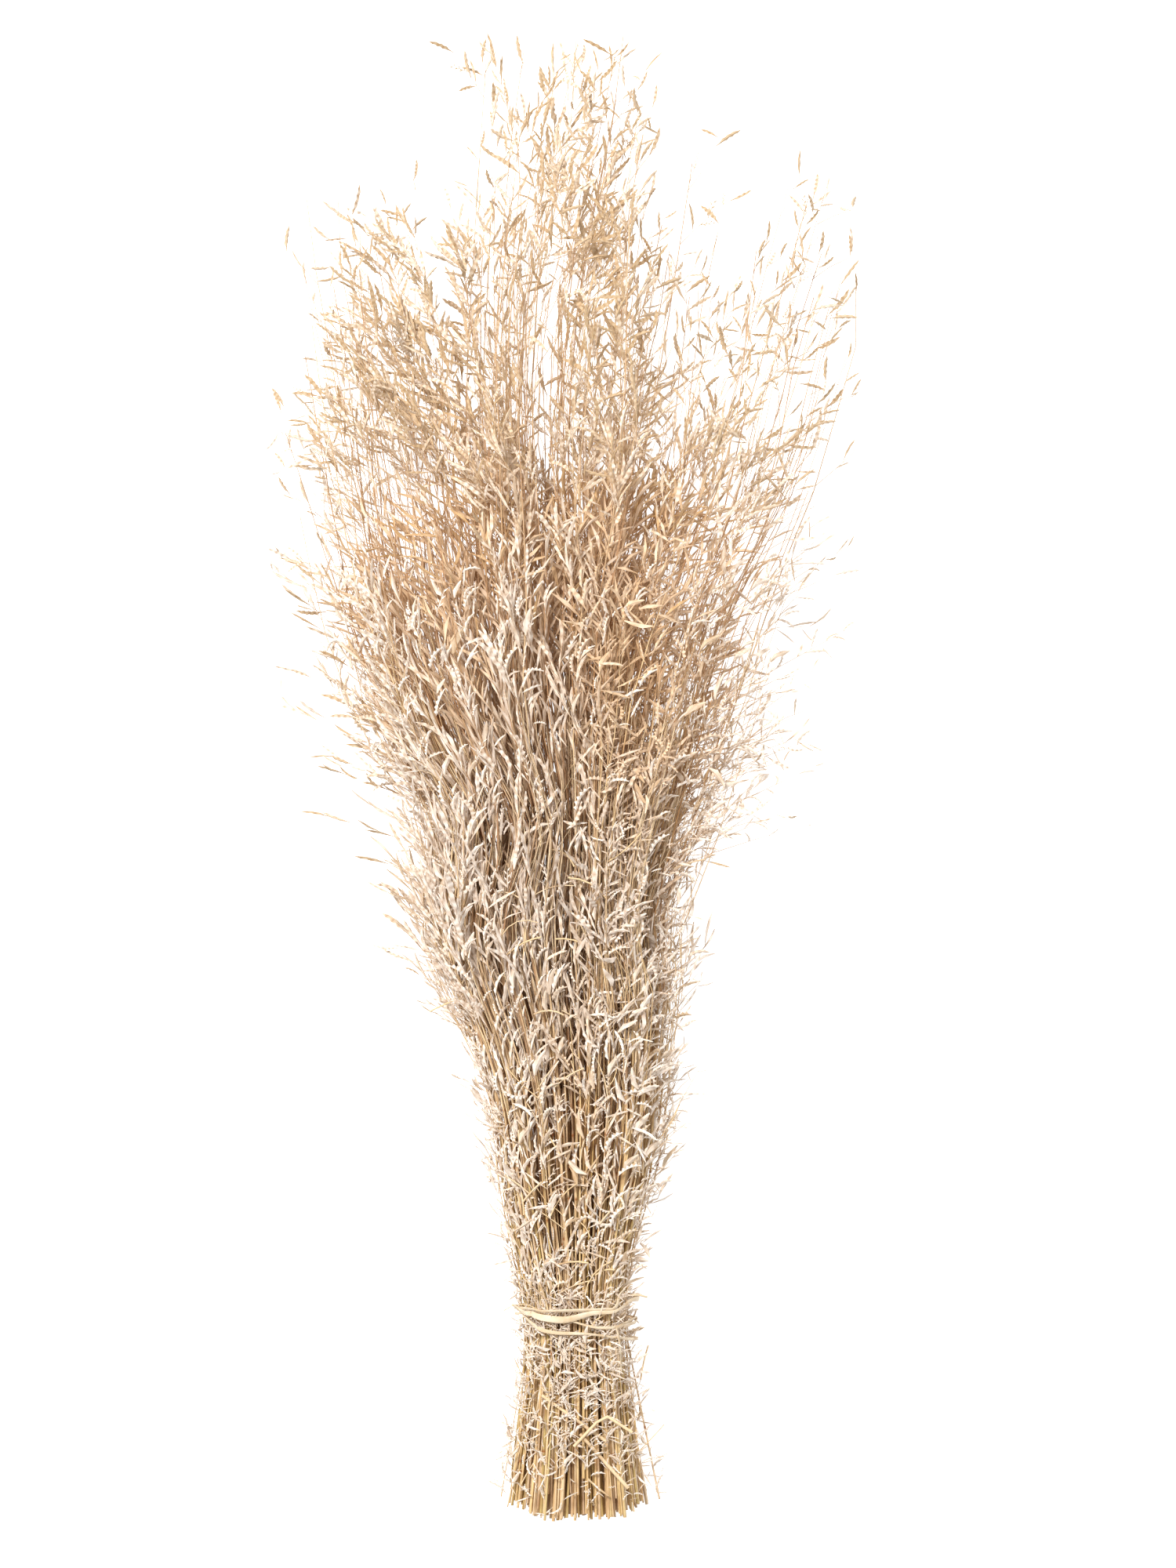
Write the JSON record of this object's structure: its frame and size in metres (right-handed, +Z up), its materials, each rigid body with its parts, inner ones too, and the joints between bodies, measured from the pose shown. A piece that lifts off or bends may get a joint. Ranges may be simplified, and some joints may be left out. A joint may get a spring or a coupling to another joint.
{
  "type": "bundle of dried munni grass",
  "caption": "Tied bundle of dried munni grass: long straw stems, gathered near their cut ends by a straw tie, fanning out into soft flower heads.",
  "frame": {"origin": "on the surface that the bundle lies on, under the middle of its box", "axes": "+Y along the stems from the cut ends to the flower heads, +Z up from the surface, +X across the bundle"},
  "size_m": [0.2729, 0.7462, 0.116],
  "materials": {
    "dried_grass": "dry, matt, golden tan grass",
    "straw_tie": "dry cream straw with a soft sheen",
    "broken_straw": "dry yellow straw, slightly glossy"
  },
  "bodies": {
    "root": {"grass_lock_01": "dried_grass", "grass_lock_02": "dried_grass", "grass_lock_03": "dried_grass", "grass_lock_04": "dried_grass", "grass_lock_05": "dried_grass", "grass_lock_06": "dried_grass", "grass_lock_07": "dried_grass", "grass_lock_08": "dried_grass", "grass_lock_09": "dried_grass", "grass_lock_10": "dried_grass", "grass_lock_11": "dried_grass", "grass_lock_12": "dried_grass", "grass_lock_13": "dried_grass", "grass_lock_14": "dried_grass", "grass_lock_15": "dried_grass", "grass_lock_16": "dried_grass", "grass_lock_17": "dried_grass", "grass_lock_18": "dried_grass", "grass_lock_19": "dried_grass", "grass_lock_20": "dried_grass", "grass_lock_21": "dried_grass", "grass_lock_22": "dried_grass", "grass_lock_23": "dried_grass", "grass_lock_24": "dried_grass", "grass_lock_25": "dried_grass", "grass_lock_26": "dried_grass", "grass_lock_27": "dried_grass", "grass_lock_28": "dried_grass", "grass_lock_29": "dried_grass", "grass_lock_30": "dried_grass", "grass_lock_31": "dried_grass", "grass_lock_32": "dried_grass", "grass_lock_33": "dried_grass", "grass_lock_34": "dried_grass", "grass_lock_35": "dried_grass", "grass_lock_36": "dried_grass", "grass_lock_37": "dried_grass", "grass_lock_38": "dried_grass", "grass_lock_39": "dried_grass", "grass_lock_40": "dried_grass", "grass_lock_41": "dried_grass", "grass_lock_42": "dried_grass", "grass_lock_43": "dried_grass", "grass_lock_44": "dried_grass", "grass_lock_45": "dried_grass", "grass_lock_46": "dried_grass", "grass_lock_47": "dried_grass", "grass_lock_48": "dried_grass", "grass_lock_49": "dried_grass", "grass_lock_50": "dried_grass", "grass_lock_51": "dried_grass", "loose_stalk_1": "broken_straw", "loose_stalk_2": "broken_straw", "loose_stalk_3": "broken_straw", "tie_tucked_turn": "straw_tie", "tie_turn_1": "straw_tie", "tie_turn_2": "straw_tie", "tie_turn_3": "straw_tie"}
  },
  "joints": []
}
